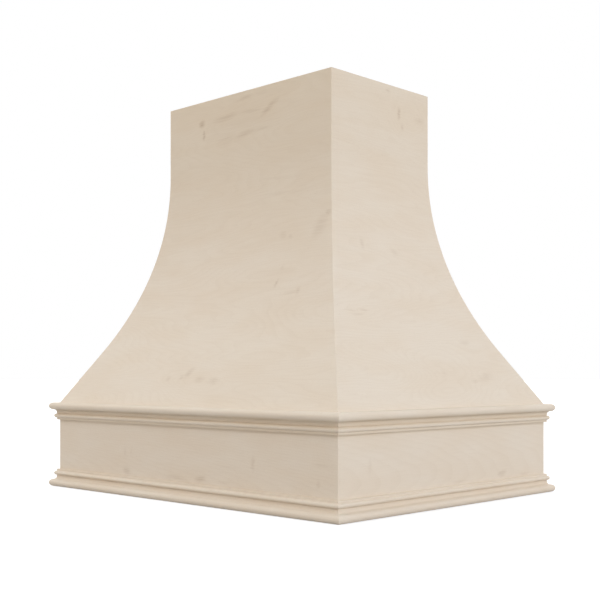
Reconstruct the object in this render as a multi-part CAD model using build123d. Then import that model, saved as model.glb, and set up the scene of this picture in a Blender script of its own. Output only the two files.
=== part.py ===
from build123d import *

import os
from math import atan, cos, sin, sqrt, tan

# Wooden range hood cover for hanging over a kitchen island, in millimetres.
#
# Four bent plywood skins flare out alike from a plumb chimney to a square band. They are mitred
# along the four hips and carried on notched plywood ribs. The band is a mitred apron with the
# same moulding run round its top and, turned upside down, round its foot. The inside is open
# from the liner bay at the bottom to the duct way at the top.
#
# The origin is at the middle of the foot, +Z is up, the front faces -Y and the long faces run
# along X. A piece of one side is drawn as if it belonged to the front, in reach (how far it
# stands out from the middle) and height, and is then turned to its own side.

# ---------------------------------------------------------------- driving dimensions
cover_height = 914.4  # foot to ceiling
chimney_width = 533.4  # left to right over the faces
chimney_depth = 330.2  # front to back over the faces
chimney_height = 165.1  # plumb part above the bend
flare = 190.5  # how far each face swings out between the chimney and the band
tail_length = 139.7  # straight part of each face between the bend and the band
band_height = 203.2  # height of the apron
arris_radius = 1.0  # sanded on the hips and on the apron's corners

skin_thickness = 9.5  # bent plywood of the four faces
board_thickness = 19.0  # apron, nailers, rails and ledgers
rib_thickness = 19.0
glue_line = 0.2  # between the skins and what carries them
lap_clearance = 0.2  # round the halves of a cross lap

# Moulding, from its thick edge to its thin one: bullnose, cove, neck, quirk, bead and fillet.
# A reach is measured from the apron's face.
moulding_reach = 19.05
nose_radius = 8.4
cove_radius = 6.0
neck_reach = 5.4
neck_height = 3.1
quirk_reach = 4.6  # of the bottom of the groove beside the bead
quirk_height = 1.1
bead_reach = 5.0  # of the bead's centre
bead_radius = 4.9
fillet_reach = 5.0
fillet_height = 4.7

# Frames inside
nailer_height = 88.9  # boards on edge round the top of the chimney
block_leg = 100.0  # triangular blocks in the nailers' corners
block_thickness = 38.1
bolt_hole_radius = 4.25  # for the bolts into the ceiling
bolt_inset = 30.0  # from both nailers' inner faces
rail_width = 70.0  # flat boards round the top of the apron
rebate_depth = 9.5  # in the apron's top inner edge, for the flat rails
belt_rise = 215.9  # of the flat ring in the flare, above the band
belt_width = 50.0
ledger_height = 38.1  # strips that the liner is screwed to
ledger_lift = 25.4  # from the foot to the ledgers' underside
apron_block_leg = 38.1  # glue blocks in the apron's corners

# Ribs
rib_depth = 38.0  # in the chimney; a rib widens from there to the flat rail's inner edge
rib_setback = 88.9  # of the front and back ribs from the chimney's sides

# Screws
screw_radius = 2.1
screw_head_radius = 4.2
screw_head_height = 2.6
screw_length = 32.0
screw_clearance = 0.1  # round a screw in the wood
ledger_screw_setback = 60.0  # from a ledger's end to its first screw

# ---------------------------------------------------------------- worked out from them
half_width = chimney_width / 2 + flare  # of the apron
half_depth = chimney_depth / 2 + flare
bend_top = cover_height - chimney_height
bend_drop = bend_top - band_height
# The tail touches the bend's circle and lands on the band's top edge.
tail_angle = 2 * atan(flare / (bend_drop + tail_length))
bend_radius = (bend_drop - tail_length * cos(tail_angle)) / sin(tail_angle)
chimney_inset = flare + skin_thickness  # from the apron's face to the chimney's inner face
nailer_inset = chimney_inset + board_thickness
nailer_foot = cover_height - nailer_height
rib_top = cover_height - block_thickness
rail_underside = band_height - board_thickness
rail_inset = board_thickness - rebate_depth  # from the apron's face to the flat rail
rail_inner_inset = rail_inset + rail_width
belt_height = band_height + belt_rise
ledger_top = ledger_lift + ledger_height

# Rib's inner edge: an arc plumb at the bend's top that lands on the flat rail's inner edge
rib_swing = chimney_inset + rib_depth - rail_inner_inset
rib_inner_radius = (bend_drop**2 + rib_swing**2) / (2 * rib_swing)

# Heights in the moulding, from its thin edge up, and the reach of the nose's centre
nose_reach = moulding_reach - nose_radius
bead_rise = fillet_height + sqrt(bead_radius**2 - (bead_reach - fillet_reach) ** 2)
bead_head_rise = bead_rise + sqrt(bead_radius**2 - (bead_reach - quirk_reach) ** 2)
quirk_head_rise = bead_head_rise + quirk_height
cove_foot_rise = quirk_head_rise + neck_height
cove_head_rise = cove_foot_rise + cove_radius
nose_rise = cove_head_rise + sqrt(nose_radius**2 - (neck_reach + cove_radius - nose_reach) ** 2)
moulding_height = nose_rise + nose_radius

overrun = 60.0  # how far cutting shapes run past what they cut

# Turn about Z, reach of the apron's face and half its length, for each side
SIDES = {
    "front": (0, half_depth, half_width),
    "right": (90, half_width, half_depth),
    "back": (180, half_depth, half_width),
    "left": (270, half_width, half_depth),
}
LONG_SIDES = ("front", "back")
# Sign along X and Y of each corner
CORNERS = {
    "front_left": (-1, -1),
    "front_right": (1, -1),
    "back_left": (-1, 1),
    "back_right": (1, 1),
}

# The front's drawing plane: reach to the right, height up
section_plane = Plane(origin=(0, 0, 0), x_dir=(0, -1, 0), z_dir=(-1, 0, 0))


# ---------------------------------------------------------------- shapes that pieces share
def face_curve(reach, inset, top=cover_height):
    """Corners of a face that lies inset behind the outer one, from its top to the band."""
    radius = bend_radius + inset
    centre = reach - flare + bend_radius

    def on_bend(angle):
        return (centre - radius * cos(angle), bend_top - radius * sin(angle))

    return (
        (centre - radius, top),
        on_bend(0),
        on_bend(tail_angle / 2),
        on_bend(tail_angle),
        (reach - inset / cos(tail_angle), band_height),
    )


def face_edges(corners):
    """The plumb line, the bend and the straight tail through those corners."""
    top, bend_start, bend_middle, bend_end, foot = corners
    return [
        Line(top, bend_start),
        ThreePointArc(bend_start, bend_middle, bend_end),
        Line(bend_end, foot),
    ]


def face_reach(reach, inset, height):
    """Reach of the face at that inset and height."""
    radius = bend_radius + inset
    drop = max(0.0, bend_top - height)
    if drop <= radius * sin(tail_angle):
        return reach - flare + bend_radius - sqrt(radius**2 - drop**2)
    return reach - inset / cos(tail_angle) - (height - band_height) * tan(tail_angle)


def rib_inner_reach(reach, height):
    """Reach of a rib's inner edge at that height."""
    drop = max(0.0, bend_top - height)
    start = reach - chimney_inset - rib_depth
    return start + rib_inner_radius - sqrt(rib_inner_radius**2 - drop**2)


def rectangle(reach_low, reach_high, z_low, z_high):
    """A rectangle in reach and height."""
    middle = ((reach_low + reach_high) / 2, (z_low + z_high) / 2)
    return Pos(*middle) * Rectangle(reach_high - reach_low, z_high - z_low)


def run_of(section, half_length):
    """A section in reach and height, run along X as far each way as half_length."""
    return extrude(section_plane * section, amount=half_length, both=True)


def box_between(low, high):
    """A box from its lowest to its highest corner."""
    size = [h - l for l, h in zip(low, high)]
    middle = [(h + l) / 2 for l, h in zip(low, high)]
    return Pos(*middle) * Box(*size)


def mitre_wedge(reach, half_length):
    """What lies between the upright planes through both corners of one side."""
    depth = chimney_inset + overrun
    inner = half_length - depth
    outer = half_length + overrun
    plan = make_face(
        Polyline(
            (-inner, depth - reach),
            (inner, depth - reach),
            (outer, -reach - overrun),
            (-outer, -reach - overrun),
            close=True,
        )
    )
    return Pos(0, 0, -overrun) * extrude(plan, amount=cover_height + 2 * overrun, dir=(0, 0, 1))


def mitred(section, side):
    """A section run along one side and mitred at both ends."""
    turn, reach, half_length = SIDES[side]
    run = run_of(section, half_length + overrun)
    return Rot(0, 0, turn) * (run & mitre_wedge(reach, half_length))


def flared_body(inset):
    """All that lies behind the faces at that inset, as one solid from the band up."""

    def between_faces(reach, half_length):
        curve = face_curve(reach, inset)
        mirrored = [(-r, z) for r, z in curve]
        outline = face_edges(curve) + face_edges(mirrored)
        outline += [Line(curve[0], mirrored[0]), Line(curve[-1], mirrored[-1])]
        return run_of(make_face(outline), half_length)

    along = Rot(0, 0, 90) * between_faces(half_width, half_depth)
    return between_faces(half_depth, half_width) & along


def sanded(body):
    """A body with its hips or upright corners eased."""
    rising = body.edges().filter_by(lambda edge: abs((edge @ 1).Z - (edge @ 0).Z) > arris_radius)
    return fillet(rising, arris_radius)


def one_solid(shape):
    """The piece as a single solid, and an error if a cut has split it."""
    solids = shape.solids()
    if len(solids) != 1:
        raise ValueError(f"a piece came out as {len(solids)} solids")
    return solids[0]


# ---------------------------------------------------------------- show faces
def skin(side, sanded_body):
    """One bent face, mitred along both hips, whose foot stands on the apron."""
    reach = SIDES[side][1]
    outer = face_curve(reach, 0)
    inner = face_curve(reach, skin_thickness)
    outline = face_edges(outer) + face_edges(inner)
    outline += [Line(outer[0], inner[0]), Line(outer[-1], inner[-1])]
    return mitred(make_face(outline), side) & sanded_body


def apron(side, sanded_band):
    """One board of the band, rebated along its top inner edge for the flat rail."""
    reach = SIDES[side][1]
    inner = reach - board_thickness
    board = rectangle(inner, reach, 0, band_height)
    rebate = rectangle(inner, inner + rebate_depth, rail_underside, band_height)
    return mitred(board - rebate, side) & sanded_band


def moulding_section(reach, thin_edge, direction):
    """The moulding's outline, rising from its thin edge, or hanging from it if direction is -1."""

    def at(point_reach, rise):
        return (reach + point_reach, thin_edge + direction * rise)

    diagonal = sqrt(0.5)
    fillet_head = at(fillet_reach, fillet_height)
    bead_side = at(bead_reach + bead_radius, bead_rise)
    bead_head = at(quirk_reach, bead_head_rise)
    quirk_head = at(quirk_reach, quirk_head_rise)
    neck_foot = at(neck_reach, quirk_head_rise)
    cove_foot = at(neck_reach, cove_foot_rise)
    cove_middle = at(
        neck_reach + cove_radius * (1 - diagonal), cove_foot_rise + cove_radius * diagonal
    )
    cove_head = at(neck_reach + cove_radius, cove_head_rise)
    nose_side = at(moulding_reach, nose_rise)
    nose_head = at(nose_reach, moulding_height)
    outline = [
        Line(at(0, 0), at(fillet_reach, 0)),
        Line(at(fillet_reach, 0), fillet_head),
        ThreePointArc(fillet_head, bead_side, bead_head),
        Line(bead_head, quirk_head),
        Line(quirk_head, neck_foot),
        Line(neck_foot, cove_foot),
        ThreePointArc(cove_foot, cove_middle, cove_head),
        ThreePointArc(cove_head, nose_side, nose_head),
        Line(nose_head, at(0, moulding_height)),
        Line(at(0, moulding_height), at(0, 0)),
    ]
    return make_face(outline)


def upper_moulding(side):
    """Bullnose up and flush with the apron's top, where it makes a ledge at the flare's foot."""
    return mitred(moulding_section(SIDES[side][1], band_height - moulding_height, 1), side)


def lower_moulding(side):
    """The same moulding upside down, flush with the apron's bottom edge."""
    return mitred(moulding_section(SIDES[side][1], moulding_height, -1), side)


# ---------------------------------------------------------------- boards and blocks inside
def frame_board(side, inset, width, z_low, z_high):
    """A board of a frame. The front and back ones run through, the others fit between them."""
    turn, reach, half_length = SIDES[side]
    half_run = half_length - inset
    if side not in LONG_SIDES:
        half_run -= width
    low = (-half_run, inset - reach, z_low)
    high = (half_run, inset - reach + width, z_high)
    return Rot(0, 0, turn) * box_between(low, high)


def nailer(side):
    """A board on edge inside the top of the chimney."""
    return frame_board(side, chimney_inset, board_thickness, nailer_foot, cover_height)


def base_rail(side):
    """A flat board in the apron's rebate, for the ribs to stand on."""
    return frame_board(side, rail_inset, rail_width, rail_underside, band_height)


def ledger(side):
    """A strip inside the apron that the liner is screwed to from below."""
    return frame_board(side, board_thickness, board_thickness, ledger_lift, ledger_top)


def corner_block(corner, inset, leg, z_low, z_high):
    """A right-angled triangular block in a corner of the frame that lies at that inset."""
    sx, sy = CORNERS[corner]
    x = half_width - inset
    y = half_depth - inset
    outline = Polyline((sx * x, sy * y), (sx * (x - leg), sy * y), (sx * x, sy * (y - leg)), close=True)
    return Pos(0, 0, z_low) * extrude(make_face(outline), amount=z_high - z_low, dir=(0, 0, 1))


def apron_block(corner):
    """Glue block behind an apron mitre, between the ledgers and the flat rails."""
    return corner_block(corner, board_thickness, apron_block_leg, ledger_top, rail_underside)


def ceiling_block(corner):
    """Block flush with the cover's top, bored for a bolt into the ceiling."""
    sx, sy = CORNERS[corner]
    bolt_x = sx * (half_width - nailer_inset - bolt_inset)
    bolt_y = sy * (half_depth - nailer_inset - bolt_inset)
    block = corner_block(corner, nailer_inset, block_leg, rib_top, cover_height)
    hole = Cylinder(bolt_hole_radius, block_thickness + overrun)
    return block - Pos(bolt_x, bolt_y, rib_top + block_thickness / 2) * hole


# ---------------------------------------------------------------- ribs and belt
def lap_reach(reach):
    """Reach of the line where a rib's half of the cross lap meets the belt's half."""
    outer = face_reach(reach, skin_thickness, belt_height + board_thickness / 2)
    return outer - belt_width / 2


def rib_outline(reach):
    """A rib from the side: cut back behind the nailer, bent outside and inside, flat-footed."""
    outer = face_curve(reach, skin_thickness + glue_line, nailer_foot)
    nailer_face = reach - nailer_inset
    heights = (rib_top, bend_top, (bend_top + band_height) / 2, band_height)
    head, bend_start, bend_middle, foot = [(rib_inner_reach(reach, z), z) for z in heights]
    outline = face_edges(outer)
    outline += [
        Line(outer[-1], foot),
        ThreePointArc(foot, bend_middle, bend_start),
        Line(bend_start, head),
        Line(head, (nailer_face, rib_top)),
        Line((nailer_face, rib_top), (nailer_face, nailer_foot)),
        Line((nailer_face, nailer_foot), outer[0]),
    ]
    return make_face(outline)


def face_rib(side, offset):
    """A rib square to its face, offset along it, with its half of the cross lap."""
    turn, reach, _ = SIDES[side]
    blank = run_of(rib_outline(reach), rib_thickness / 2)
    slot = box_between(
        (-rib_thickness, -lap_reach(reach) - lap_clearance, belt_height - lap_clearance),
        (rib_thickness, 0, belt_height + board_thickness + lap_clearance),
    )
    return Rot(0, 0, turn) * Pos(offset, 0, 0) * (blank - slot)


def rib_offsets(side):
    """Where the ribs of that side stand along it: two in a long side, one in a short one."""
    if side in LONG_SIDES:
        offset = chimney_width / 2 - rib_setback
        return (-offset, offset)
    return (0.0,)


def hip_board(thickness):
    """A board on the plane of the back right hip, still wider than the cover."""
    stretch = sqrt(2)  # the hips run at 45 degrees in plan
    heights = (rib_top, bend_top, (bend_top + band_height) / 2, band_height)
    head, bend_start, bend_middle, foot = [
        (stretch * rib_inner_reach(half_depth, z), z) for z in heights
    ]
    far = stretch * half_depth
    outline = [
        Line(head, bend_start),
        ThreePointArc(bend_start, bend_middle, foot),
        Line(foot, (far, band_height)),
        Line((far, band_height), (far, rib_top)),
        Line((far, rib_top), head),
    ]
    board = extrude(Plane.XZ * make_face(outline), amount=thickness / 2, both=True)
    return Pos(half_width - half_depth, 0, 0) * Rot(0, 0, 45) * board


def on_corner(corner, shape):
    """A shape made for the back right corner, mirrored to another one."""
    sx, sy = CORNERS[corner]
    if sx < 0:
        shape = mirror(shape, Plane.YZ)
    if sy < 0:
        shape = mirror(shape, Plane.XZ)
    return shape


def hip_rib(corner, inner_body):
    """A rib behind a hip, bevelled both ways to fit two skins and cut to fit two nailers."""
    x = half_width - nailer_inset
    y = half_depth - nailer_inset
    rim = box_between((0, 0, nailer_foot), (half_width, half_depth, cover_height))
    rim -= box_between((0, 0, nailer_foot), (x, y, cover_height))
    slot = box_between(
        (0, 0, belt_height - lap_clearance),
        (
            lap_reach(half_width) + lap_clearance,
            lap_reach(half_depth) + lap_clearance,
            belt_height + board_thickness + lap_clearance,
        ),
    )
    return on_corner(corner, (hip_board(rib_thickness) & inner_body) - rim - slot)


def belt_rail(side, inner_body):
    """One side of the flat ring in the flare: bevelled to the skin and slotted over the ribs."""
    turn, reach, _ = SIDES[side]
    lap = lap_reach(reach)
    section = rectangle(lap - belt_width / 2, reach, belt_height, belt_height + board_thickness)
    rail = mitred(section, side) & inner_body
    half_slot = rib_thickness / 2 + lap_clearance
    z_low = belt_height - overrun
    z_high = belt_height + board_thickness + overrun
    for offset in rib_offsets(side):
        slot = box_between((offset - half_slot, -reach, z_low), (offset + half_slot, -lap, z_high))
        rail -= Rot(0, 0, turn) * slot
    hip_slot = hip_board(rib_thickness + 2 * lap_clearance)
    hip_slot -= box_between((0, 0, z_low), (lap_reach(half_width), lap_reach(half_depth), z_high))
    for corner in CORNERS:
        rail -= on_corner(corner, hip_slot)
    return rail


# ---------------------------------------------------------------- screws
def screw(clearance=0.0):
    """A countersunk wood screw along +Z, its head flush at the origin, or the hole for one."""
    shank = screw_radius + clearance
    head = screw_head_radius + clearance
    tip = screw_length + clearance
    outline = Polyline(
        (0, 0), (head, 0), (shank, screw_head_height), (shank, tip - 2 * shank), (0, tip), close=True
    )
    return revolve(Plane.XZ * make_face(outline), Axis.Z)


def along_side(side, offset, inset, height):
    """A place on one side: offset along it, inset from the apron's face, and height."""
    turn, reach, _ = SIDES[side]
    return Rot(0, 0, turn) * Pos(offset, inset - reach, height)


def ledger_screws():
    """Out through the ledgers into the apron: three in a long side and two in a short one."""
    places = []
    height = (ledger_lift + ledger_top) / 2
    for side, (_, _, half_length) in SIDES.items():
        end = half_length - 2 * board_thickness - ledger_screw_setback
        offsets = (-end, 0, end) if side in LONG_SIDES else (-end, end)
        for offset in offsets:
            places.append(along_side(side, offset, 2 * board_thickness, height) * Rot(90, 0, 0))
    return places


def rib_foot_screws():
    """Up through the flat rails into the feet of all the ribs."""
    places = []
    inset = (board_thickness + rail_inner_inset) / 2
    for side in SIDES:
        for offset in rib_offsets(side):
            places.append(along_side(side, offset, inset, rail_underside))
    for sx, sy in CORNERS.values():
        places.append(Pos(sx * (half_width - inset), sy * (half_depth - inset), rail_underside))
    return places


def rib_head_screws():
    """Out through the heads of the face ribs into the nailers, two to a rib."""
    places = []
    quarter = (rib_top - nailer_foot) / 4
    for side in SIDES:
        for offset in rib_offsets(side):
            for height in (nailer_foot + quarter, rib_top - quarter):
                place = along_side(side, offset, chimney_inset + rib_depth, height)
                places.append(place * Rot(90, 0, 0))
    return places


def block_screws():
    """In through the nailers into the ceiling blocks, under the skins."""
    places = []
    height = rib_top + block_thickness / 2
    for side, (_, _, half_length) in SIDES.items():
        offset = half_length - nailer_inset - block_leg / 2
        for along in (-offset, offset):
            places.append(along_side(side, along, chimney_inset, height) * Rot(-90, 0, 0))
    return places


def drilled(piece, places):
    """A piece with a hole for each screw that reaches it."""
    hole = screw(screw_clearance)
    for place in places:
        cutter = place * hole
        if piece.bounding_box().overlaps(cutter.bounding_box()):
            piece = piece - cutter
    return piece


# ---------------------------------------------------------------- the whole cover
def wooden_pieces():
    """Every skin, board, block, rib and moulding by name, not yet drilled."""
    sanded_body = sanded(flared_body(0))
    band = box_between((-half_width, -half_depth, 0), (half_width, half_depth, band_height))
    sanded_band = sanded(band)
    inner_body = flared_body(skin_thickness + glue_line)
    wood = {}
    for side in SIDES:
        wood[f"{side}_skin"] = skin(side, sanded_body)
        wood[f"{side}_apron"] = apron(side, sanded_band)
        wood[f"{side}_upper_moulding"] = upper_moulding(side)
        wood[f"{side}_lower_moulding"] = lower_moulding(side)
        wood[f"{side}_nailer"] = nailer(side)
        wood[f"{side}_belt_rail"] = belt_rail(side, inner_body)
        wood[f"{side}_base_rail"] = base_rail(side)
        wood[f"{side}_ledger"] = ledger(side)
    for corner in CORNERS:
        wood[f"{corner}_hip_rib"] = hip_rib(corner, inner_body)
        wood[f"{corner}_ceiling_block"] = ceiling_block(corner)
        wood[f"{corner}_apron_block"] = apron_block(corner)
    left, right = rib_offsets("front")
    wood["front_left_rib"] = face_rib("front", left)
    wood["front_right_rib"] = face_rib("front", right)
    wood["back_left_rib"] = face_rib("back", right)  # the back is turned half round
    wood["back_right_rib"] = face_rib("back", left)
    wood["left_rib"] = face_rib("left", 0.0)
    wood["right_rib"] = face_rib("right", 0.0)
    return wood


# Places of each group of screws, and how the names of what they hold together end
SCREW_GROUPS = {
    "ledger_screws": (ledger_screws(), ("_ledger", "_apron")),
    "rib_foot_screws": (rib_foot_screws(), ("_base_rail", "_rib")),
    "rib_head_screws": (rib_head_screws(), ("_rib", "_nailer")),
    "block_screws": (block_screws(), ("_nailer", "_ceiling_block")),
}

pieces = wooden_pieces()
for places, endings in SCREW_GROUPS.values():
    for name in pieces:
        if name.endswith(endings):
            pieces[name] = drilled(pieces[name], places)
for name in pieces:
    pieces[name] = one_solid(pieces[name])
for name, (places, _) in SCREW_GROUPS.items():
    pieces[name] = Compound([one_solid(place * screw()) for place in places])

os.makedirs("parts", exist_ok=True)
for name, piece in pieces.items():
    piece.label = name
    export_step(piece, f"parts/{name}.step")
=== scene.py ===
from math import atan2, cos, pi, radians, sin

import bpy
from mathutils import Matrix, Vector


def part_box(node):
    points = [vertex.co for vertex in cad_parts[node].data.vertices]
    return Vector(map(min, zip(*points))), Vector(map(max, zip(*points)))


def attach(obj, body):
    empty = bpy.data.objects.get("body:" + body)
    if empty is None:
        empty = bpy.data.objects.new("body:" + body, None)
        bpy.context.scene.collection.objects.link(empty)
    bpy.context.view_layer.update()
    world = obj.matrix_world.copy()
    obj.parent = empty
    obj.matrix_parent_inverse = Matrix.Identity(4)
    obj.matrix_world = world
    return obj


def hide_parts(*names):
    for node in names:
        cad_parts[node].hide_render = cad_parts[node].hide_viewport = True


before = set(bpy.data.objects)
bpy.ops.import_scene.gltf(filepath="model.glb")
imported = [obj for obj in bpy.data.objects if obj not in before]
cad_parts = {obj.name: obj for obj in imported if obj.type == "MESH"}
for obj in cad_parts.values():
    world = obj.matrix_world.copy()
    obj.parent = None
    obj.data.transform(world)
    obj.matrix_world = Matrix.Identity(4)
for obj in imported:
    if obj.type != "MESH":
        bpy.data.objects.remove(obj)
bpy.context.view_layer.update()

# A raw wooden hood cover for hanging over a kitchen island. Four bent plywood skins flare out to
# a square band of solid maple with a moulding round its top and its foot. The front faces -Y.
# The pieces follow in the order in which such a cover is put together, from the inside out.


# ---------------------------------------------------------------- nailers
# Four poplar boards on edge round the inside of the chimney's top, butted at the corners. They
# are planed and left raw: creamy sapwood with greenish heartwood in long streaks.
def linear(hex_colour):
    """A #RRGGBB colour as Blender's linear red, green, blue and alpha."""
    levels = [int(hex_colour[i : i + 2], 16) / 255 for i in (1, 3, 5)]
    return [v / 12.92 if v <= 0.04045 else ((v + 0.055) / 1.055) ** 2.4 for v in levels] + [1.0]


def feed(node, inputs):
    """Sets a shader node's inputs to values, or links them to outputs or to whole nodes.

    They go by name, or by number where a node has more of one name: a Mix node's share is 0,
    and it turns colour 6 towards colour 7.
    """
    for key, value in inputs.items():
        if isinstance(value, bpy.types.Node):
            value = next(output for output in value.outputs if output.enabled)
        if isinstance(value, bpy.types.NodeSocket):
            node.id_data.links.new(value, node.inputs[key])
        else:
            node.inputs[key].default_value = value


def add(material, kind, inputs, **settings):
    """Adds a shader node with its settings, and feeds it."""
    made = material.node_tree.nodes.new("ShaderNode" + kind)
    for name, value in settings.items():
        setattr(made, name, value)
    feed(made, inputs)
    return made


def new_wood(name, middle=(0.0, 0.0, 0.0), turns=(0.0, 0.0, 0.0)):
    """A material, and places in its board: x along the grain, y through it and z across it."""
    wood = bpy.data.materials.new(name)
    wood.use_nodes = True
    place = add(
        wood,
        "Mapping",
        {"Vector": add(wood, "TexCoord", {}).outputs["Object"], "Location": middle,
         "Rotation": turns},
        vector_type="TEXTURE",
    )
    return wood, place


def sawn_rings(wood, place, pith, slope, ring):
    """Years counted from the log's pith, which passes that far beside a sawn board's middle."""
    across = add(
        wood,
        "Mapping",
        {"Vector": place, "Location": (0.0, *pith), "Rotation": (0.0, *slope),
         "Scale": (1000.0, 1.0, 1.0)},  # along the pith, distance hardly counts
        vector_type="TEXTURE",
    )
    radius = add(wood, "VectorMath", {0: across}, operation="LENGTH")
    # The rings wander by 6 mm over 300 mm of length
    waver = add(wood, "Mapping", {"Vector": place, "Scale": (1 / 0.3, 1 / 0.05, 1 / 0.05)})
    waver = add(wood, "TexNoise", {"Vector": waver, "Scale": 1.0, "Detail": 1.0})
    radius = add(wood, "Math", {0: waver, 1: 0.006, 2: radius}, operation="MULTIPLY_ADD")
    return add(wood, "Math", {0: radius, 1: ring}, operation="DIVIDE")


def wood_grain(wood, place, plank, years, cloud_size, pale, warm, late, ring_share, fibre_share):
    """Colour and height of planed wood: clouds, yearly rings, fibres and flecks.

    Each plank has a number, which gives it clouds, fibres and flecks of its own.
    """
    shift = (1.7 * plank, 0.9 * plank, 2.3 * plank)
    place = add(wood, "VectorMath", {0: place, 1: shift}, operation="ADD")
    length, width = cloud_size
    cloud = add(wood, "Mapping", {"Vector": place, "Scale": (1 / length, 1 / width, 1 / width)})
    cloud = add(wood, "TexNoise", {"Vector": cloud, "Scale": 1.0, "Detail": 3.0})
    cloud = add(wood, "MapRange", {"Value": cloud, "From Min": 0.35, "From Max": 0.65})
    colour = add(wood, "Mix", {0: cloud, 6: linear(warm), 7: linear(pale)}, data_type="RGBA")
    # Late wood darkens towards the end of each ring and stops sharply
    age = add(wood, "Math", {0: years}, operation="FRACT")
    age = add(wood, "MapRange", {"Value": age, "From Min": 0.45, "To Max": ring_share})
    colour = add(wood, "Mix", {0: age, 6: colour, 7: linear(late)}, data_type="RGBA")
    # Fibres 60 mm long. Real ones are 0.1 mm wide; these are 1.2 mm, to show at all
    fibre = add(wood, "Mapping", {"Vector": place, "Scale": (1 / 0.06, 1 / 0.0012, 1 / 0.0012)})
    fibre = add(wood, "TexNoise", {"Vector": fibre, "Scale": 1.0, "Detail": 3.0, "Roughness": 0.6})
    share = add(
        wood,
        "MapRange",
        {"Value": fibre, "From Min": 0.4, "From Max": 0.75, "To Max": fibre_share},
    )
    colour = add(wood, "Mix", {0: share, 6: colour, 7: linear(late)}, data_type="RGBA")
    # Flecks of rays and pores, 4 mm long and 0.6 mm wide, twice as dark as the fibres
    fleck = add(wood, "Mapping", {"Vector": place, "Scale": (1 / 0.004, 1 / 0.0006, 1 / 0.0006)})
    fleck = add(wood, "TexNoise", {"Vector": fleck, "Scale": 1.0, "Detail": 0.0})
    share = add(
        wood,
        "MapRange",
        {"Value": fleck, "From Min": 0.66, "From Max": 0.8, "To Max": 2.0 * fibre_share},
    )
    colour = add(wood, "Mix", {0: share, 6: colour, 7: linear(late)}, data_type="RGBA")
    height = add(wood, "Math", {0: fibre, 1: share}, operation="SUBTRACT")
    return colour, height


def raw_finish(wood, colour, height, roughness, depth):
    """Wood with nothing on it: dull, with fibres that stand that deep and catch some light."""
    bump = add(wood, "Bump", {"Height": height, "Distance": depth, "Strength": 1.0})
    gloss_spread = 0.05
    roughness = add(
        wood,
        "MapRange",
        {"Value": height, "From Min": 0.2, "From Max": 0.8,
         "To Min": roughness - gloss_spread, "To Max": roughness + gloss_spread},
    )
    shader = wood.node_tree.nodes["Principled BSDF"]
    feed(shader, {"Base Color": colour, "Normal": bump, "Roughness": roughness, "IOR": 1.5})


def dress(node, material):
    """Gives a piece of the frame its material."""
    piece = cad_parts[node]
    piece.data.materials.clear()
    piece.data.materials.append(material)


poplar = {
    "cloud_size": (0.5, 0.03),
    "pale": "#E5D8BE",
    "warm": "#D8CBAB",
    "late": "#B9A987",
    "ring_share": 0.35,
    "fibre_share": 0.3,
}


def planed_poplar(node, plank, turn, pith, slope):
    """Dresses a poplar board whose grain runs along X until it is turned that far about Z."""
    wood, place = new_wood(f"planed_poplar_{node}", turns=(0.0, 0.0, turn))
    years = sawn_rings(wood, place, pith, slope, ring=0.004)
    colour, height = wood_grain(wood, place, plank, years, **poplar)
    raw_finish(wood, colour, height, roughness=0.6, depth=0.00005)
    dress(node, wood)


SIDES = {"front": 0.0, "right": pi / 2, "back": pi, "left": -pi / 2}  # turn about Z from the front
for plank, (side, turn) in enumerate(SIDES.items()):
    planed_poplar(f"{side}_nailer", plank, turn, pith=(-0.30, 0.84), slope=(0.01, 0.03))

# ---------------------------------------------------------------- ceiling blocks
# Triangles of poplar, glued and screwed into the nailers' corners and bored for the bolts into
# the ceiling. Their grain runs along the long edge, so the two short ones show end grain.
CORNERS = {  # sign along X and Y
    "front_left": (-1, -1),
    "front_right": (1, -1),
    "back_left": (-1, 1),
    "back_right": (1, 1),
}
for plank, (corner, (sx, sy)) in enumerate(CORNERS.items(), start=5):
    long_edge = atan2(sy, sx) + pi / 2
    planed_poplar(f"{corner}_ceiling_block", plank, long_edge, pith=(0.35, 0.80), slope=(0.02, 0.02))

# ---------------------------------------------------------------- ribs
# Ten curved ribs sawn from 19 mm birch plywood, six square to the faces and four on the
# diagonals, bevelled behind the hips. Sawn edges show the plies, by turns long and end grain.
mm = 0.001


def peeled_rings(wood, place, plank, eyes=()):
    """Years on a sheet peeled off a log: slow waves, with closed eyes of rings where it bulged.

    An eye is its middle along and up, half its length and height, in millimetres, and its rings.
    """
    shift = (0.9 * plank, 0.0, 1.9 * plank)
    wave = add(wood, "VectorMath", {0: place, 1: shift}, operation="ADD")
    wave = add(wood, "Mapping", {"Vector": wave, "Scale": (1 / 0.75, 1.0, 1 / 0.10)})
    wave = add(wood, "TexNoise", {"Vector": wave, "Scale": 1.0, "Detail": 2.0, "Roughness": 0.35})
    rings_per_wave = 38.0
    years = add(wood, "Math", {0: wave, 1: rings_per_wave}, operation="MULTIPLY")
    for along, up, half_length, half_height, rings in eyes:
        eye = add(
            wood,
            "Mapping",
            {"Vector": place, "Location": (along * mm, 0.0, up * mm),
             "Scale": (half_length * mm, 1000.0, half_height * mm)},
            vector_type="TEXTURE",
        )
        eye = add(wood, "VectorMath", {0: eye}, operation="LENGTH")
        # Its rings spread 1.4 times as far as its size, and thin out
        eye = add(
            wood,
            "MapRange",
            {"Value": eye, "From Max": 1.4, "To Min": rings, "To Max": 0.0},
            interpolation_type="SMOOTHSTEP",
        )
        years = add(wood, "Math", {0: years, 1: eye}, operation="ADD")
    return years


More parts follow.
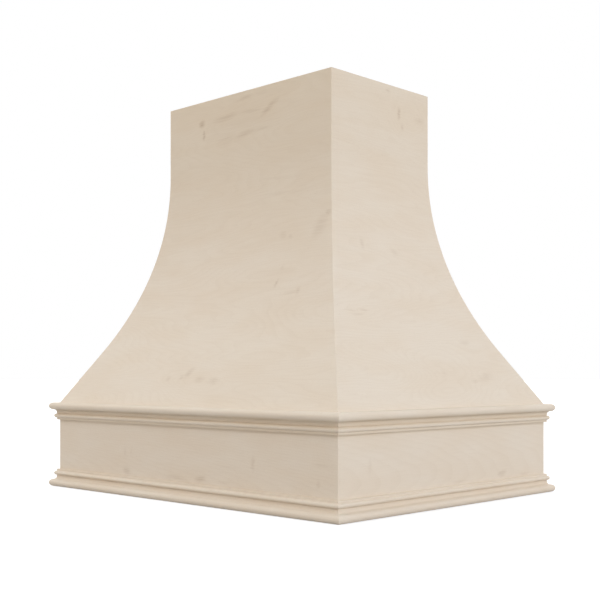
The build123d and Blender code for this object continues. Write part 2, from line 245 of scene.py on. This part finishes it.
def plies(wood, place, colour):
    """Turns the wood into 13 plies of 1.46 mm, with every second one's end grain outwards."""
    ply = 0.019 / 13
    inside = 0.0093  # how far from the middle the count goes on, just inside the outer faces
    pairs_inside = inside / (2 * ply)
    middle = 0.25  # the middle ply fills the first half of a pair
    through = add(wood, "SeparateXYZ", {"Vector": place}).outputs["Y"]
    pairs = add(
        wood,
        "MapRange",
        {"Value": through, "From Min": -inside, "From Max": inside,
         "To Min": middle - pairs_inside, "To Max": middle + pairs_inside},
    )
    second = add(wood, "Math", {0: pairs}, operation="FRACT")
    second = add(wood, "Math", {0: second, 1: 0.5}, operation="GREATER_THAN")
    share = add(wood, "Math", {0: second, 1: 0.75}, operation="MULTIPLY")
    colour = add(wood, "Mix", {0: share, 6: colour, 7: linear("#BE9D70")}, data_type="RGBA")
    glue = add(wood, "Math", {0: pairs, 1: middle}, operation="PINGPONG")
    glue = add(
        wood,
        "MapRange",
        {"Value": glue, "From Min": 0.02, "From Max": 0.05, "To Min": 0.6, "To Max": 0.0},
    )
    return add(wood, "Mix", {0: glue, 6: colour, 7: linear("#7C5B3A")}, data_type="RGBA")


birch = {
    "cloud_size": (0.25, 0.06),
    "pale": "#E6D4B4",
    "warm": "#DCC49D",
    "late": "#BD9C6E",
    "ring_share": 0.2,
    "fibre_share": 0.22,
}


def birch_plywood(node, plank, middle, turns):
    """Dresses a piece of a plywood sheet that has its middle there and is turned that far."""
    wood, place = new_wood(f"birch_plywood_{node}", middle, turns)
    years = peeled_rings(wood, place, plank)
    colour, height = wood_grain(wood, place, plank, years, **birch)
    raw_finish(wood, plies(wood, place, colour), height, roughness=0.62, depth=0.00005)
    dress(node, wood)


half_width, half_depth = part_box("right_apron")[1].x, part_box("back_apron")[1].y
hip_start = half_width - half_depth  # where the hips' lines meet, from the middle along X
rib_low, rib_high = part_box("front_right_rib")
rib_offset = (rib_low.x + rib_high.x) / 2  # of the front and back ribs from the middle
# Where each rib's sheet starts along X, and the way it stands out from there
ribs = {
    "front_left_rib": (-rib_offset, -pi / 2),
    "front_right_rib": (rib_offset, -pi / 2),
    "back_left_rib": (-rib_offset, pi / 2),
    "back_right_rib": (rib_offset, pi / 2),
    "left_rib": (0.0, pi),
    "right_rib": (0.0, 0.0),
}
for corner, (sx, sy) in CORNERS.items():
    ribs[f"{corner}_hip_rib"] = (sx * hip_start, atan2(sy, sx))
for plank, (rib, (start, outward)) in enumerate(ribs.items(), start=20):
    birch_plywood(rib, plank, middle=(start, 0.0, 0.0), turns=(0.0, pi / 2, outward))

# ---------------------------------------------------------------- belt and base rails
# Two flat rings of the same birch plywood. The belt is bevelled to the skins and lapped over
# every rib, and the base rails lie in the apron's rebate under the ribs' feet.
for ring_name, first_plank in (("belt", 40), ("base", 44)):
    rail_low, rail_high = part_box(f"front_{ring_name}_rail")
    middle = (0.0, 0.0, (rail_low.z + rail_high.z) / 2)
    for plank, (side, turn) in enumerate(SIDES.items(), start=first_plank):
        birch_plywood(f"{side}_{ring_name}_rail", plank, middle, turns=(pi / 2, 0.0, turn))

# ---------------------------------------------------------------- apron
# The square band: four planed maple boards, mitred at the corners and sanded. Hard maple is
# cream, almost without figure: soft clouds, hairlines 3 mm apart and small brown flecks.
maple = {
    "cloud_size": (0.16, 0.05),
    "pale": "#E3D5C2",
    "warm": "#E1D1BC",
    "late": "#BFA688",
    "ring_share": 0.06,
    "fibre_share": 0.1,
}
painted_shade_brown = "#A98948"  # painted shade: the brown of the apron just under the upper moulding and of the mouldings' hollows


def dark_marks(wood, place, height, marks):
    """Share of brown in pin knots and mineral streaks, broken up by the fibres.

    A mark is its middle along and up, half its length and height, in millimetres, its slope in
    degrees and its strength.
    """
    # The streaks wander by 5 mm, and their outlines are ragged by 6 mm along the fibres. The
    # noises lie round a half, so the marks' middles move on by half of each reach
    wander, ragged_along, ragged_across = 0.010, 0.012, 0.005
    bent = add(wood, "Mapping", {"Vector": place, "Scale": (1 / 0.07, 1 / 0.07, 1 / 0.04)})
    bent = add(wood, "TexNoise", {"Vector": bent, "Scale": 1.0, "Detail": 1.0}).outputs["Color"]
    bent = add(
        wood, "VectorMath", {0: bent, 1: (0.0, 0.0, wander), 2: place}, operation="MULTIPLY_ADD"
    )
    ragged = add(wood, "Mapping", {"Vector": place, "Scale": (1 / 0.02, 1 / 0.02, 1 / 0.003)})
    ragged = add(wood, "TexNoise", {"Vector": ragged, "Scale": 1.0, "Detail": 3.0})
    ragged = add(
        wood,
        "VectorMath",
        {0: ragged.outputs["Color"], 1: (ragged_along, 0.0, ragged_across), 2: bent},
        operation="MULTIPLY_ADD",
    )
    share = 0.0
    for along, up, half_length, half_height, slope, strength in marks:
        middle = (along * mm + ragged_along / 2, 0.0, up * mm + (wander + ragged_across) / 2)
        spot = add(
            wood,
            "Mapping",
            {"Vector": ragged, "Location": middle, "Rotation": (0.0, -radians(slope), 0.0),
             "Scale": (half_length * mm, 1000.0, half_height * mm)},
            vector_type="TEXTURE",
        )
        spot = add(wood, "VectorMath", {0: spot}, operation="LENGTH")
        # It fades out at 1.7 times its size
        spot = add(
            wood,
            "MapRange",
            {"Value": spot, "From Max": 1.7, "To Min": 1.3 * strength, "To Max": 0.0},
            interpolation_type="SMOOTHSTEP",
        )
        share = add(wood, "Math", {0: spot, 1: share}, operation="MAXIMUM")
    shown = add(
        wood,
        "MapRange",
        {"Value": height, "From Min": 0.35, "From Max": 0.6, "To Min": 0.45, "To Max": 1.4},
    )
    return add(wood, "Math", {0: share, 1: shown}, operation="MULTIPLY")


def stained(wood, colour, share):
    """The wood's colour turned towards the brown of a knot by that share."""
    return add(wood, "Mix", {0: share, 6: colour, 7: linear("#966A38")}, data_type="RGBA")


# Placed one by one, those of the front and the right after the photograph
apron_marks = {
    "front": (
        (230, 95, 5, 13, 0, 0.12),
        (-192, 96, 4, 9, 0, 0.06),
        (-170, 97, 3, 9, 0, 0.05),
        (-186, 54, 13, 8, 0, 0.14),
        (69, 54, 16, 6, 5, 0.16),
        (-14, 51, 26, 4, 0, 0.10),
        (144, 52, 22, 4, 0, 0.06),
        (407, 69, 5, 8, 0, 0.08),
        (414, 104, 22, 3, 0, 0.06),
        (162, 83, 22, 2, 0, 0.05),
    ),
    "right": (
        (-266, 99, 5, 11, 0, 0.06),
        (182, 54, 14, 6, 6, 0.17),
        (25, 48, 22, 3, 0, 0.08),
        (271, 48, 30, 3, 0, 0.07),
    ),
    "back": (
        (-300, 120, 20, 4, 4, 0.10),
        (-40, 88, 5, 10, 0, 0.12),
        (210, 64, 18, 5, -4, 0.12),
    ),
    "left": (
        (-150, 70, 16, 5, 5, 0.12),
        (120, 118, 6, 5, 0, 0.16),
    ),
}
moulding_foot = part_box("front_upper_moulding")[0].z
painted_shade_strip, painted_shade_share = 0.010, 0.12  # painted shade below the upper moulding: how high, and how much browner
for plank, (side, turn) in enumerate(SIDES.items()):
    wood, place = new_wood(f"sanded_maple_{side}_apron", turns=(0.0, 0.0, turn))
    # Each board was sawn a little further from the pith and less along it
    pith = (-0.22, 0.03 + 0.04 * plank)
    slope = (0.02 - 0.01 * plank, 0.05)
    years = sawn_rings(wood, place, pith, slope, ring=0.003)
    colour, height = wood_grain(wood, place, 60 + plank, years, **maple)
    colour = stained(wood, colour, dark_marks(wood, place, height, apron_marks[side]))
    # Painted shade: a strip of the board just below the upper moulding, where its shadow falls, is a
    # little browner
    painted_shade_under_moulding = add(
        wood,
        "MapRange",
        {"Value": add(wood, "SeparateXYZ", {"Vector": place}).outputs["Z"],
         "From Min": moulding_foot - painted_shade_strip, "From Max": moulding_foot,
          "To Max": painted_shade_share},
        interpolation_type="SMOOTHSTEP",
    )
    colour = add(wood, "Mix", {0: painted_shade_under_moulding, 6: colour, 7: linear(painted_shade_brown)}, data_type="RGBA")
    raw_finish(wood, colour, height, roughness=0.62, depth=0.00003)
    dress(f"{side}_apron", wood)

# ---------------------------------------------------------------- apron blocks and ledgers
# Poplar again: glue blocks behind the apron's mitres, and the strips that the liner is screwed
# to. The blocks' grain runs along their long face, as in the ceiling blocks.
for plank, (corner, (sx, sy)) in enumerate(CORNERS.items(), start=70):
    long_face = atan2(sy, sx) + pi / 2
    planed_poplar(f"{corner}_apron_block", plank, long_face, pith=(0.60, 0.05), slope=(0.02, 0.02))
for plank, (side, turn) in enumerate(SIDES.items(), start=80):
    planed_poplar(f"{side}_ledger", plank, turn, pith=(-0.45, 0.12), slope=(0.01, 0.03))

# ---------------------------------------------------------------- skins
# The four show faces: 9.5 mm bending plywood with a maple face, mitred along the hips and
# sanded raw. The face's grain and the two thick plies' run level, so that it bends over the ribs.
skin_thickness = 0.0095
reaches = {"front": half_depth, "right": half_width, "back": half_depth, "left": half_width}
# The face from its top down: plumb over the chimney, an arc, and a straight tail to the band
chimney_height, flare, tail_length = 0.1651, 0.1905, 0.1397
skin_low, skin_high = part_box("front_skin")
bend_top = skin_high.z - chimney_height
bend_drop = bend_top - skin_low.z
tail_angle = 2 * atan2(flare, bend_drop + tail_length)
bend_radius = (bend_drop - tail_length * cos(tail_angle)) / sin(tail_angle)
# From the face inwards: thickness in millimetres, colour in a sawn edge, and how much of the
# maple's own colour that covers. Four glue lines, two thick plies and a thin one across them
layers = (
    (0.57, "#E5D5C0", 0.0),
    (0.17, "#8C6C49", 1.0),
    (3.49, "#D9BD94", 1.0),
    (0.17, "#8C6C49", 1.0),
    (0.70, "#BF9C70", 1.0),
    (0.17, "#8C6C49", 1.0),
    (3.49, "#D9BD94", 1.0),
    (0.17, "#8C6C49", 1.0),
    (0.57, "#DCC8AB", 0.4),
)
face_ply_share = layers[0][0] * mm / skin_thickness
top_tint_share = {"front": 0.28, "right": 0.14, "back": 0.2, "left": 0.1}
# Eyes of rings in the faces, as peeled_rings takes them
face_eyes = {
    "front": ((0, 842, 150, 40, 4), (10, 262, 100, 35, 5)),
    "right": ((28, 274, 150, 60, 7), (95, 845, 60, 50, 4), (185, 265, 40, 25, 4)),
    "back": ((-90, 640, 160, 60, 6), (150, 300, 130, 45, 5)),
    "left": ((-40, 420, 140, 70, 7), (80, 800, 70, 40, 3)),
}
# Pin knots and mineral streaks, as dark_marks takes them, placed as the apron's are
face_marks = {
    "front": (
        (-148, 864, 9, 7, 0, 0.30),
        (-141, 836, 4, 10, 0, 0.26),
        (-66, 865, 36, 7, 4, 0.15),
        (21, 866, 40, 4, -3, 0.08),
        (80, 864, 27, 7, 25, 0.18),
        (0, 816, 32, 7, 5, 0.13),
        (-55, 810, 28, 5, 6, 0.08),
        (58, 820, 24, 4, 1, 0.07),
        (-58, 819, 34, 14, 5, 0.06),
        (0, 845, 120, 30, 3, 0.03),
        (-2, 898, 26, 4, 7, 0.09),
        (52, 900, 20, 4, 4, 0.05),
        (269, 611, 8, 5, 12, 0.20),
        (250, 584, 26, 14, 62, 0.09),
        (142, 575, 11, 7, -5, 0.08),
        (166, 569, 6, 4, -5, 0.08),
        (153, 465, 9, 4, 71, 0.16),
        (208, 444, 22, 4, 3, 0.07),
        (224, 446, 6, 8, 0, 0.10),
        (160, 501, 6, 5, 0, 0.06),
        (-19, 277, 14, 7, 32, 0.12),
        (-82, 262, 8, 6, 0, 0.08),
        (25, 260, 14, 6, 0, 0.11),
        (73, 258, 15, 6, 0, 0.10),
        (-37, 267, 7, 5, 37, 0.08),
        (139, 667, 50, 4, -2, 0.05),
        (117, 702, 50, 4, -3, 0.04),
    ),
    "right": (
        (59, 856, 5, 12, 0, 0.20),
        (71, 827, 4, 8, 10, 0.10),
        (132, 852, 17, 7, 5, 0.09),
        (-96, 550, 6, 13, 0, 0.09),
        (8, 541, 11, 5, -15, 0.09),
        (174, 264, 30, 8, 9, 0.075),
        (125, 258, 11, 5, 0, 0.06),
        (159, 342, 17, 5, 1, 0.09),
        (28, 274, 9, 6, -8, 0.05),
        (20, 900, 8, 5, -7, 0.08),
        (-191, 402, 16, 2, 0, 0.10),
        (-175, 394, 16, 2, 0, 0.10),
        (-150, 404, 12, 2, 0, 0.10),
    ),
    "back": (
        (-120, 655, 44, 4, 5, 0.16),
        (-60, 628, 36, 4, -4, 0.14),
        (118, 842, 7, 6, 0, 0.28),
        (150, 300, 18, 5, 8, 0.14),
        (205, 316, 12, 4, 0, 0.12),
        (-240, 350, 24, 3, -3, 0.10),
        (40, 480, 10, 4, 60, 0.16),
    ),
    "left": (
        (-70, 430, 30, 4, 4, 0.14),
        (-15, 405, 22, 5, -6, 0.13),
        (88, 802, 5, 9, 0, 0.20),
        (100, 770, 4, 6, 0, 0.14),
        (-60, 860, 26, 3, 3, 0.10),
        (150, 280, 16, 6, 10, 0.12),
    ),
}


def depth_in_skin(wood, place, chimney_reach):
    """Share of the skin's thickness that lies in front of a place, round the bend as well."""
    axes = add(wood, "SeparateXYZ", {"Vector": place}).outputs
    # From the bend's axis, inwards and down. The direction stops at the tail's
    inward = add(wood, "Math", {0: axes["Y"], 1: chimney_reach + bend_radius}, operation="ADD")
    drop = add(wood, "Math", {0: bend_top, 1: axes["Z"]}, operation="SUBTRACT")
    angle = add(wood, "Math", {0: drop, 1: inward}, operation="ARCTAN2")
    angle = add(wood, "MapRange", {"Value": angle, "From Max": tail_angle, "To Max": tail_angle})
    level = add(wood, "Math", {0: angle}, operation="COSINE")
    level = add(wood, "Math", {0: level, 1: inward}, operation="MULTIPLY")
    plumb = add(wood, "Math", {0: angle}, operation="SINE")
    both = add(wood, "Math", {0: plumb, 1: drop, 2: level}, operation="MULTIPLY_ADD")
    return add(
        wood,
        "MapRange",
        {"Value": both, "From Min": bend_radius, "From Max": bend_radius + skin_thickness},
    )


for plank, (side, turn) in enumerate(SIDES.items(), start=90):
    wood, place = new_wood(f"maple_veneered_plywood_{side}_skin", turns=(0.0, 0.0, turn))
    years = peeled_rings(wood, place, plank, face_eyes[side])
    colour, height = wood_grain(wood, place, plank, years, **maple)
    # The sheet turns a little yellower towards its top
    top_tint = add(
        wood,
        "MapRange",
        {"Value": add(wood, "SeparateXYZ", {"Vector": place}).outputs["Z"],
         "From Min": 0.5, "From Max": 0.9, "To Max": top_tint_share[side]},
    )
    colour = add(wood, "Mix", {0: top_tint, 6: colour, 7: linear("#D6C09C")}, data_type="RGBA")
    # The marks lie in the face ply alone
    depth = depth_in_skin(wood, place, reaches[side] - flare)
    on_face = add(wood, "Math", {0: depth, 1: face_ply_share}, operation="LESS_THAN")
    marks = dark_marks(wood, place, height, face_marks[side])
    marks = add(wood, "Math", {0: marks, 1: on_face}, operation="MULTIPLY")
    colour = stained(wood, colour, marks)

    edge = add(wood, "ValToRGB", {0: depth})
    ramp = edge.color_ramp
    ramp.interpolation = "CONSTANT"
    start = 0.0
    for number, (thickness, layer_colour, cover) in enumerate(layers):
        layer = ramp.elements[0] if number == 0 else ramp.elements.new(start)
        layer.color = linear(layer_colour)[:3] + [cover]
        start += thickness * mm / skin_thickness
    ramp.elements.remove(ramp.elements[-1])
    colour = add(
        wood,
        "Mix",
        {0: edge.outputs["Alpha"], 6: colour, 7: edge.outputs["Color"]},
        data_type="RGBA",
    )
    raw_finish(wood, colour, height, roughness=0.62, depth=0.00003)
    dress(f"{side}_skin", wood)

# ---------------------------------------------------------------- mouldings
# Run on a spindle moulder from straight-grained maple, then sanded, mitred and bradded on: a
# bullnose over a cove, a bead and a fillet at the top, and the same upside down at the foot.
moulding_runs = {
    "upper": {"nose_end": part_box("front_upper_moulding")[1].z, "hollow": 0.17, "edge": 0.12},
    "lower": {"nose_end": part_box("front_lower_moulding")[0].z, "hollow": 0.05, "edge": 0.0},
}
# Painted shade: the hollow between the nose and the bead is browner, more so on the upper run, where
# the fillet's edge is browner too. These are the heights from the nose's end between which each
# painted shade comes in or goes out
hollow_in, hollow_out, edge_in = (0.014, 0.019), (0.029, 0.033), (0.036, 0.039)
for number, (level, run) in enumerate(moulding_runs.items()):
    for plank, (side, turn) in enumerate(SIDES.items()):
        wood, place = new_wood(f"sanded_maple_{side}_{level}_moulding", turns=(0.0, 0.0, turn))
        pith = (-0.9 + 0.1 * plank, 0.5 * number)
        years = sawn_rings(wood, place, pith, slope=(0.004, 0.01), ring=0.003)
        colour, height = wood_grain(wood, place, 110 + 4 * number + plank, years, **maple)

        from_nose = add(wood, "SeparateXYZ", {"Vector": place}).outputs["Z"]
        from_nose = add(wood, "Math", {0: from_nose, 1: run["nose_end"]}, operation="SUBTRACT")
        from_nose = add(wood, "Math", {0: from_nose}, operation="ABSOLUTE")
        # Painted shade in the hollow and along the fillet's edge, as a share of brown
        brown = add(
            wood,
            "MapRange",
            {"Value": from_nose, "From Min": hollow_in[0], "From Max": hollow_in[1],
             "To Max": run["hollow"]},
            interpolation_type="SMOOTHSTEP",
        )
        brown = add(
            wood,
            "MapRange",
            {"Value": from_nose, "From Min": hollow_out[0], "From Max": hollow_out[1],
             "To Min": brown, "To Max": 0.0},
            interpolation_type="SMOOTHSTEP",
        )
        edge = add(
            wood,
            "MapRange",
            {"Value": from_nose, "From Min": edge_in[0], "From Max": edge_in[1],
             "To Max": run["edge"]},
        )
        brown = add(wood, "Math", {0: brown, 1: edge}, operation="MAXIMUM")
        colour = add(wood, "Mix", {0: brown, 6: colour, 7: linear(painted_shade_brown)}, data_type="RGBA")
        raw_finish(wood, colour, height, roughness=0.6, depth=0.00003)
        dress(f"{side}_{level}_moulding", wood)

# ---------------------------------------------------------------- screws
# Forty wood screws, 4.2 by 32 mm, of cold-headed steel with rolled threads and bright zinc on
# them: countersunk heads with cross recesses, driven flush in all the frames inside.
screw_head_radius, screw_core_radius, screw_radius = 0.0042, 0.0014, 0.0021
screw_head_height, screw_length = 0.0026, 0.032
shank_length, step_length, point_length = 0.006, 0.0006, 0.005
core_length = screw_length - screw_head_height - shank_length - step_length - point_length
recess_width, recess_slot, recess_depth, recess_narrowing = 0.0046, 0.0009, 0.0022, 0.4
thread_pitch, thread_turns, thread_start, thread_half_foot = 0.0022, 8, 0.0105, 0.0005
thread_sunk = 0.0002  # how deep its foot lies in the core

bpy.ops.object.select_all(action="DESELECT")
bpy.ops.mesh.primitive_cone_add(
    vertices=24, radius1=screw_head_radius, radius2=screw_radius, depth=screw_head_height,
    location=(0.0, 0.0, screw_head_height / 2),
)
screw = bpy.context.object
bpy.ops.object.mode_set(mode="EDIT")
bpy.ops.mesh.select_all(action="DESELECT")
bpy.ops.object.mode_set(mode="OBJECT")
for face in screw.data.polygons:
    face.select = face.normal.z > 0.9
bpy.ops.object.mode_set(mode="EDIT")
for rise, size in (
    (shank_length, 1.0),
    (step_length, screw_core_radius / screw_radius),
    (core_length, 1.0),
    (point_length, 0.1),
):
    bpy.ops.mesh.extrude_region_move(TRANSFORM_OT_translate={"value": (0.0, 0.0, rise)})
    bpy.ops.transform.resize(value=(size, size, 1.0))
bpy.ops.object.mode_set(mode="OBJECT")

# The recess: two crossed wedges cut out of the head, which start a little outside it
recess_start = -0.0008
wedges = []
for turn in (0.0, pi / 2):
    bpy.ops.object.select_all(action="DESELECT")
    bpy.ops.mesh.primitive_cube_add(
        size=1.0, location=(0.0, 0.0, (recess_start + recess_depth) / 2)
    )
    wedge = bpy.context.object
    wedge.scale = (recess_width, recess_slot, recess_depth - recess_start)
    wedge.rotation_euler = (0.0, 0.0, turn)
    bpy.ops.object.transform_apply(location=True, rotation=True, scale=True)
    for corner in wedge.data.vertices:
        if corner.co.z > recess_depth / 2:
            corner.co.xy *= recess_narrowing
    wedges.append(wedge)
for wedge in wedges:
    cut = screw.modifiers.new("recess", "BOOLEAN")
    cut.operation = "DIFFERENCE"
    cut.object = wedge
    bpy.ops.object.select_all(action="DESELECT")
    bpy.context.view_layer.objects.active = screw
    screw.select_set(True)
    bpy.ops.object.modifier_apply(modifier=cut.name)
    bpy.data.objects.remove(wedge)

# The thread: a three-sided ridge wound up the core
bpy.ops.object.select_all(action="DESELECT")
bpy.ops.mesh.primitive_circle_add(vertices=3, radius=thread_half_foot, location=(0.0, 0.0, 0.0))
thread = bpy.context.object
thread_foot = screw_core_radius - thread_sunk
ridge = (
    (thread_foot, -thread_half_foot),
    (screw_radius, 0.0),
    (thread_foot, thread_half_foot),
)
for corner, (out, rise) in zip(thread.data.vertices, ridge):
    corner.co = (out, 0.0, thread_start + rise)
winding = thread.modifiers.new("winding", "SCREW")
winding.axis = "Z"
winding.screw_offset = thread_pitch
winding.iterations = thread_turns
winding.steps = winding.render_steps = 12
winding.use_smooth_shade = False
bpy.ops.object.modifier_apply(modifier=winding.name)
bpy.ops.object.mode_set(mode="EDIT")
bpy.ops.mesh.select_all(action="SELECT")
bpy.ops.mesh.fill_holes(sides=3)
bpy.ops.mesh.normals_make_consistent(inside=False)
bpy.ops.object.mode_set(mode="OBJECT")
screw.select_set(True)
bpy.context.view_layer.objects.active = screw
bpy.ops.object.join()
bpy.ops.object.shade_smooth_by_angle(angle=radians(35))

zinc = bpy.data.materials.new("zinc_plated_steel")
zinc.use_nodes = True
# Bright zinc is faintly blue and cloudy, with spangles too fine to see; these are 1 mm
spangle = add(
    zinc,
    "TexNoise",
    {"Vector": add(zinc, "TexCoord", {}).outputs["Object"], "Scale": 1000.0, "Detail": 2.0},
)
tone = add(zinc, "MapRange", {"Value": spangle, "From Min": 0.35, "From Max": 0.65})
tone = add(zinc, "Mix", {0: tone, 6: linear("#B9BEC4"), 7: linear("#D3D6D8")}, data_type="RGBA")
polish = add(
    zinc,
    "MapRange",
    {"Value": spangle, "From Min": 0.3, "From Max": 0.7, "To Min": 0.28, "To Max": 0.42},
)
shader = zinc.node_tree.nodes["Principled BSDF"]
feed(shader, {"Base Color": tone, "Roughness": polish, "Metallic": 1.0})
screw.data.materials.append(zinc)


def driven(side, offset, inset, height, lean):
    """Where a screw stands: along one side, in from the apron's face, and how it leans."""
    stand = Matrix.Translation((offset, inset - reaches[side], height))
    return Matrix.Rotation(SIDES[side], 4, "Z") @ stand @ Matrix.Rotation(lean, 4, "X")


# What they hold, as the front's boxes give it: insets from the apron's face, and heights
ledger_low, ledger_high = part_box("front_ledger")
base_low, base_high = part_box("front_base_rail")
nailer_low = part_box("front_nailer")[0]
block_low, block_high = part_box("front_right_ceiling_block")
ledger_inset = half_depth + ledger_high.y
ledger_middle = (ledger_low.z + ledger_high.z) / 2
foot_inset = half_depth + (ledger_low.y + base_high.y) / 2
rib_inset = half_depth + rib_high.y
rib_quarter = (block_low.z - nailer_low.z) / 4
nailer_inset = half_depth + nailer_low.y
block_inset = half_width - (block_low.x + block_high.x) / 2
block_middle = (block_low.z + block_high.z) / 2
ledger_end = 0.060  # from a side ledger's end to its first screw

half_lengths = {"front": half_width, "right": half_depth, "back": half_width, "left": half_depth}
screw_places = {
    "ledger_screws": [],
    "rib_foot_screws": [],
    "rib_head_screws": [],
    "block_screws": [],
}
for side, half_length in half_lengths.items():
    long_side = side in ("front", "back")
    end = half_length - ledger_inset - ledger_end
    for offset in (-end, 0.0, end) if long_side else (-end, end):
        place = driven(side, offset, ledger_inset, ledger_middle, pi / 2)
        screw_places["ledger_screws"].append(place)
    for offset in (-rib_offset, rib_offset) if long_side else (0.0,):
        screw_places["rib_foot_screws"].append(driven(side, offset, foot_inset, base_low.z, 0.0))
        for height in (nailer_low.z + rib_quarter, block_low.z - rib_quarter):
            place = driven(side, offset, rib_inset, height, pi / 2)
            screw_places["rib_head_screws"].append(place)
    for offset in (block_inset - half_length, half_length - block_inset):
        place = driven(side, offset, nailer_inset, block_middle, -pi / 2)
        screw_places["block_screws"].append(place)
for sx, sy in CORNERS.values():
    hip_foot = (sx * (half_width - foot_inset), sy * (half_depth - foot_inset), base_low.z)
    screw_places["rib_foot_screws"].append(Matrix.Translation(hip_foot))
for group, places in screw_places.items():
    bpy.ops.object.select_all(action="DESELECT")
    for number, place in enumerate(places):
        driven_screw = screw.copy()
        driven_screw.data = screw.data.copy()
        # Each stops with its recess turned another way
        driven_screw.data.transform(place @ Matrix.Rotation(radians(47 * number), 4, "Z"))
        bpy.context.scene.collection.objects.link(driven_screw)
        driven_screw.select_set(True)
        bpy.context.view_layer.objects.active = driven_screw
    bpy.ops.object.join()
    joined = bpy.context.object
    joined.name = joined.data.name = f"cross_recessed_{group}"
    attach(joined, "root")
    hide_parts(group)
bpy.data.objects.remove(screw)

# ---------------------------------------------------------------- camera
# The photograph's camera, as its corners and edges place it: level, a little above the cover's
# foot, with the horizon below the middle of the picture.
camera_turn = radians(44.183)  # how far round it stands from the front, towards the right
camera_distance = 2.4809  # from the cover's axis
camera_aside = 0.01035  # to the right of the line to that axis
camera_height = 0.2769  # above the cover's foot
focal_pixels = 1042.3  # the focal length
picture_pixels = 600  # across and down
horizon_row = 372.17  # from the top

camera = bpy.data.cameras.new("camera")
camera.sensor_width = 36.0
camera.lens = camera.sensor_width * focal_pixels / picture_pixels
camera.shift_y = (horizon_row - picture_pixels / 2) / picture_pixels
stand = bpy.data.objects.new("camera", camera)
bpy.context.scene.collection.objects.link(stand)
stand.location = (
    camera_distance * sin(camera_turn) + camera_aside * cos(camera_turn),
    -camera_distance * cos(camera_turn) + camera_aside * sin(camera_turn),
    camera_height,
)
stand.rotation_euler = (pi / 2, 0.0, camera_turn)
bpy.context.scene.camera = stand

# ---------------------------------------------------------------- floor
# A sheet of matt pale paper, 60 m across and 0.3 mm below the cover's foot. The camera and
# reflections see it lit to white, but for the shade right under the cover.
bpy.ops.object.select_all(action="DESELECT")
bpy.ops.mesh.primitive_plane_add(size=60, location=(0, 0, -0.0003))
floor = bpy.context.object
floor.name = "floor"
paper = bpy.data.materials.new("matt_pale_paper")
paper.use_nodes = True
shader = paper.node_tree.nodes["Principled BSDF"]
feed(shader, {"Base Color": linear("#BCBCBC"), "Roughness": 0.9})
rays = add(paper, "LightPath", {}).outputs
seen = add(
    paper, "Math", {0: rays["Is Camera Ray"], 1: rays["Is Glossy Ray"]}, operation="MAXIMUM"
)
seen = add(paper, "Math", {0: seen, 1: rays["Is Transmission Ray"]}, operation="MAXIMUM")
lift = 0.62  # what the lamps and the room leave to reach white
seen = add(paper, "Math", {0: seen, 1: lift}, operation="MULTIPLY")
glow = add(paper, "Emission", {"Color": linear("#FFFFFF"), "Strength": seen})
both = add(paper, "AddShader", {0: shader, 1: glow})
feed(paper.node_tree.nodes["Material Output"], {"Surface": both})
floor.data.materials.append(paper)

# ---------------------------------------------------------------- light
# A white room that lights the cover softly from above, and five very soft suns: name, how far
# round from the front and how high they stand in degrees, strength and colour.
room = bpy.data.worlds.new("room")
room.use_nodes = True
bpy.context.scene.world = room
sky_light = (0.802, 0.84, 0.882, 1.0)
upward = add(room, "TexCoord", {}).outputs["Generated"]
upward = add(room, "SeparateXYZ", {"Vector": upward}).outputs["Z"]
upward = add(room, "Math", {0: upward, 1: 0.0}, operation="MAXIMUM")
rays = add(room, "LightPath", {}).outputs
seen = add(
    room, "Math", {0: rays["Is Camera Ray"], 1: rays["Is Glossy Ray"]}, operation="MAXIMUM"
)
seen = add(room, "Math", {0: seen, 1: rays["Is Transmission Ray"]}, operation="MAXIMUM")
sky = add(room, "Mix", {0: seen, 6: sky_light, 7: linear("#FFFFFF")}, data_type="RGBA")
strength = add(room, "Math", {0: upward, 1: seen}, operation="MAXIMUM")
feed(room.node_tree.nodes["Background"], {"Color": sky, "Strength": strength})

suns = {
    "side_light": (90, 25, 0.716, (0.697, 0.825, 1.0)),
    "key_light": (60, 10, 1.736, (1.0, 0.945, 0.930)),
    "low_fill": (-60, 20, 0.61, (1.0, 0.774, 0.577)),
    "high_fill": (-60, 50, 0.532, (0.654, 0.853, 1.0)),
    "back_light": (215, 10, 1.288, (1.0, 0.935, 0.891)),
}
for name, (compass, elevation, strength, colour) in suns.items():
    lamp = bpy.data.lights.new(name, "SUN")
    lamp.angle = radians(50)
    lamp.energy = strength
    lamp.color = colour
    sun = bpy.data.objects.new(name, lamp)
    bpy.context.scene.collection.objects.link(sun)
    compass, elevation = radians(compass), radians(elevation)
    towards = Vector(
        (sin(compass) * cos(elevation), -cos(compass) * cos(elevation), sin(elevation))
    )
    sun.rotation_euler = towards.to_track_quat("Z", "Y").to_euler()

bpy.context.scene.view_settings.view_transform = "Standard"
